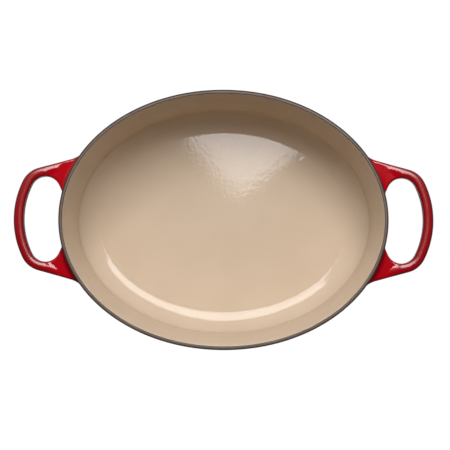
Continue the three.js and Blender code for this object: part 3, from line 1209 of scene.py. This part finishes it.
@dataclass(frozen=True)
class SoftBox:
    """A lamp behind a diffuser that faces the dish, dimmer towards its edges."""

    name: str
    place: Triple
    aim: Triple
    spin: float
    sides: tuple[float, float]
    radiance: float
    borders: tuple[float, float]
    border_glow: float

    def build(self) -> None:
        """Hangs the lamp."""
        lamp = bpy.data.lights.new(self.name, "AREA")
        lamp.shape = "RECTANGLE"
        lamp.size, lamp.size_y = self.sides
        lamp.energy = self.radiance * math.pi * self.sides[0] * self.sides[1]
        lamp.use_nodes = True
        w = Wiring(lamp.node_tree)
        spot = w.add("ShaderNodeNewGeometry").outputs["Parametric"]
        shares = w.add("ShaderNodeSeparateXYZ", {"Vector": spot}).outputs
        to_edges = []
        for axis, side, border in zip("XY", self.sides, self.borders):
            off_middle = w.math("ABSOLUTE", w.math("SUBTRACT", shares[axis], MIDDLE))
            to_edges.append(w.math("MULTIPLY", w.math("SUBTRACT", MIDDLE, off_middle), side / border))
        glow = w.ramp(w.math("MINIMUM", *to_edges), 0.0, 1.0, self.border_glow, 1.0)
        light = w.add("ShaderNodeEmission", {"Strength": glow})
        w.add("ShaderNodeOutputLight", {"Surface": light.outputs["Emission"]})
        holder = add_object(self.name, lamp)
        throw = (Vector(self.aim) - Vector(self.place)).normalized()
        holder.location = self.place
        holder.rotation_mode = "QUATERNION"
        spin = Quaternion((0.0, 0.0, 1.0), self.spin)
        holder.rotation_quaternion = throw.to_track_quat("-Z", "Y") @ spin
        holder.visible_camera = False


KEY_LAMP = SoftBox(
    name="key_lamp",
    place=(0.014, 0.595, 1.46),
    aim=(-0.008, 0.0, 0.06),
    spin=math.radians(41.7),
    sides=(0.735, 0.885),
    radiance=10.3,
    borders=(0.04, 0.02),
    border_glow=0.1,
)


@dataclass(frozen=True)
class Studio:
    """The floor, the room's glow, the lamp and the camera."""

    floor_side: float = 12.0
    floor_colour: Triple = (0.7, 0.7, 0.7)
    floor_white: Triple = (1.0, 1.0, 1.0)
    room_glow: float = 0.5
    dark_glow: float = 0.03
    bright_side: Triple = (-0.2, 0.98, 0.0)
    glow_reach: tuple[float, float] = (-0.1, 0.6)
    key_lamp: SoftBox = KEY_LAMP
    camera_height: float = 1.418
    camera_side: float = 8 * MM
    camera_front: float = 25 * MM
    camera_aim: Triple = (1.48 * MM, -4.60 * MM, 118 * MM)
    camera_roll: float = math.radians(0.31)
    camera_lens: float = 118.66
    sensor: float = 36.0

    def build(self) -> None:
        """Sets up everything round the dish."""
        scene = bpy.context.scene
        scene.view_settings.view_transform = "Standard"
        self.lay_floor()
        self.light_room()
        self.key_lamp.build()
        scene.camera = self.place_camera()

    def lay_floor(self) -> None:
        """Lays the pale floor that the dish stands on."""
        half = self.floor_side / 2
        mesh = bpy.data.meshes.new("floor")
        corners = [(x * half, y * half, 0) for x, y in ((-1, -1), (1, -1), (1, 1), (-1, 1))]
        mesh.from_pydata(corners, [], [(0, 1, 2, 3)])
        paint, w = new_material("floor_paint")
        matt = w.add("ShaderNodeBsdfDiffuse", {"Color": (*self.floor_colour, 1.0)}).outputs["BSDF"]
        white = w.add("ShaderNodeEmission", {"Color": (*self.floor_white, 1.0)}).outputs["Emission"]
        seen = w.add("ShaderNodeLightPath").outputs["Is Camera Ray"]
        mixed = w.add("ShaderNodeMixShader", {"Fac": seen})
        w.feed(mixed.inputs[1], matt)
        w.feed(mixed.inputs[2], white)
        w.add("ShaderNodeOutputMaterial", {"Surface": mixed.outputs["Shader"]})
        mesh.materials.append(paint)
        floor = add_object("floor", mesh)

    def light_room(self) -> None:
        """Gives the room its own glow, brighter behind the dish and dark overhead and in front."""
        world = bpy.data.worlds.new("room")
        world.use_nodes = True
        w = Wiring(world.node_tree)
        direction = w.add("ShaderNodeTexCoord").outputs["Generated"]
        towards = w.add("ShaderNodeVectorMath", operation="DOT_PRODUCT")
        w.feed(towards.inputs[0], direction)
        w.feed(towards.inputs[1], self.bright_side)
        glow = w.ramp(towards.outputs["Value"], *self.glow_reach, self.dark_glow, self.room_glow)
        air = w.add("ShaderNodeBackground", {"Strength": glow})
        w.add("ShaderNodeOutputWorld", {"Surface": air.outputs["Background"]})
        bpy.context.scene.world = world

    def place_camera(self) -> Object:
        """Sets the camera almost straight above the dish.

        Returns:
            The camera.
        """
        data = bpy.data.cameras.new("camera")
        data.sensor_width = self.sensor
        data.lens = self.camera_lens
        camera = add_object("camera", data)
        place = Vector((self.camera_side, -self.camera_front, self.camera_height))
        back = (place - Vector(self.camera_aim)).normalized()
        right = Vector((1.0, 0.0, 0.0))
        right = (right - back * right.dot(back)).normalized()
        turned = Matrix((right, back.cross(right), back)).transposed().to_4x4()
        roll = Matrix.Rotation(self.camera_roll, 4, "Z")
        camera.matrix_world = Matrix.Translation(place) @ turned @ roll
        return camera


def dress_castings(iron: Material) -> None:
    """Gives the iron under the enamel its finish.

    Args:
        iron: the finish.
    """
    for name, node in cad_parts.items():
        if name.endswith("_casting"):
            node.data.materials.clear()
            node.data.materials.append(iron)
            LOG.info("%s keeps its CAD shape, in bare iron under the enamel", name)


def main() -> None:
    """Builds the dish and the studio round it."""
    logging.basicConfig(level=logging.INFO, format="%(message)s")
    workshop = Workshop()
    sand = SAND_GLAZE.material(workshop)
    red = RED_GLAZE.material(workshop)
    pot = Pot()
    pot.build(sand, RIM_GROUND_COAT.material(workshop), red)
    for end in End:
        LoopHandle(pot, end).build(red)
    dress_castings(CastIron().material(workshop))
    Studio().build()


if __name__ == "__main__":
    main()
